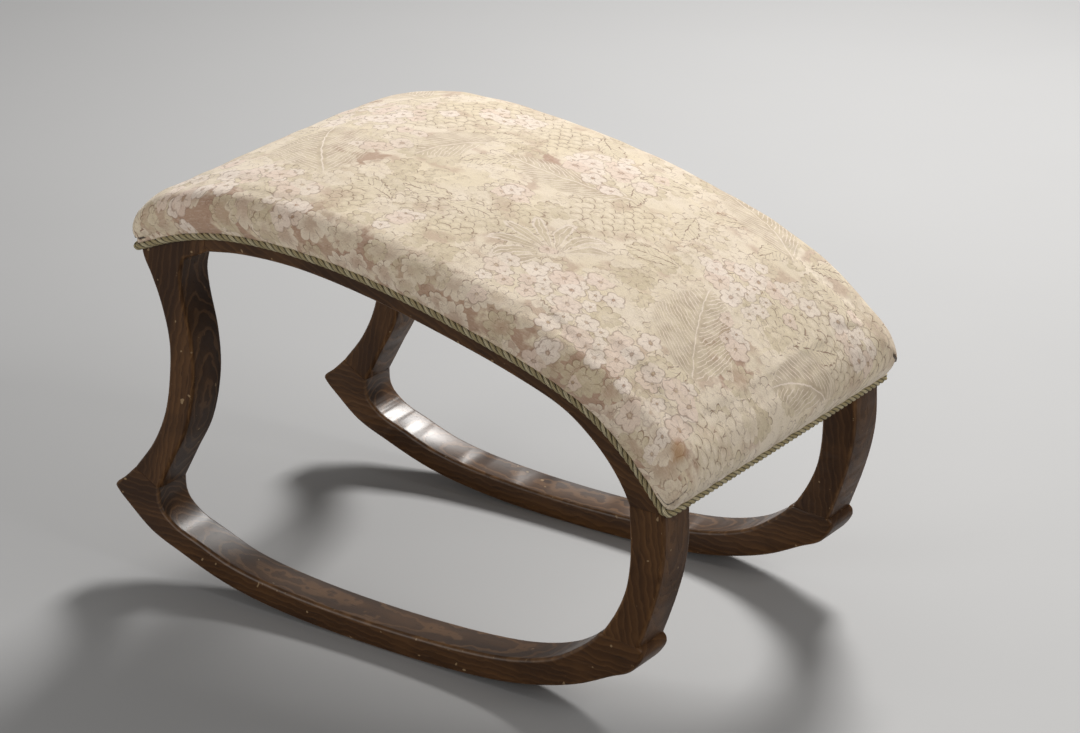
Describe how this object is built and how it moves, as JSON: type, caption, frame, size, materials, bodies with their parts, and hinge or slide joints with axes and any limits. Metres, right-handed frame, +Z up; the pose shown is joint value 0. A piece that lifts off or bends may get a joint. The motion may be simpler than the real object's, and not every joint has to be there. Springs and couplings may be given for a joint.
{
  "type": "rocking footstool",
  "caption": "Footstool with a long curved upholstered seat on two shaped wooden side frames whose bowed lower members rock on the floor.",
  "frame": {"origin": "centre of the bounding box on the floor, under the middle of the stool's length and depth", "axes": "+X along the stool from its tall end to its low end, +Y from the front side frame to the back side frame, +Z up"},
  "size_m": [0.6042, 0.357, 0.3955],
  "materials": {
    "stained_wood": "dark stained hardwood, satin varnish worn at the edges",
    "plain_wood": "unfinished hardwood",
    "jute_webbing": "plain woven jute",
    "hessian_cloth": "coarse open weave",
    "fibre_stuffing": "packed fibre",
    "tapestry_cover": "flat woven floral tapestry",
    "trim_cord": "twisted olive and cream cord"
  },
  "bodies": {
    "root": {"front_rocker": "stained_wood", "back_rocker": "stained_wood", "front_tall_leg": "stained_wood", "back_tall_leg": "stained_wood", "front_low_leg": "stained_wood", "back_low_leg": "stained_wood", "front_seat_rail": "stained_wood", "back_seat_rail": "stained_wood", "tall_end_rail": "plain_wood", "low_end_rail": "plain_wood", "tall_corner_blocks": "plain_wood", "low_corner_blocks": "plain_wood", "rocker_dowels": "plain_wood", "seat_rail_dowels": "plain_wood", "end_rail_dowels": "plain_wood", "cross_webbing": "jute_webbing", "long_webbing": "jute_webbing", "hessian": "hessian_cloth", "stuffing": "fibre_stuffing", "seat_cover": "tapestry_cover", "trim_cord": "trim_cord"}
  },
  "joints": []
}
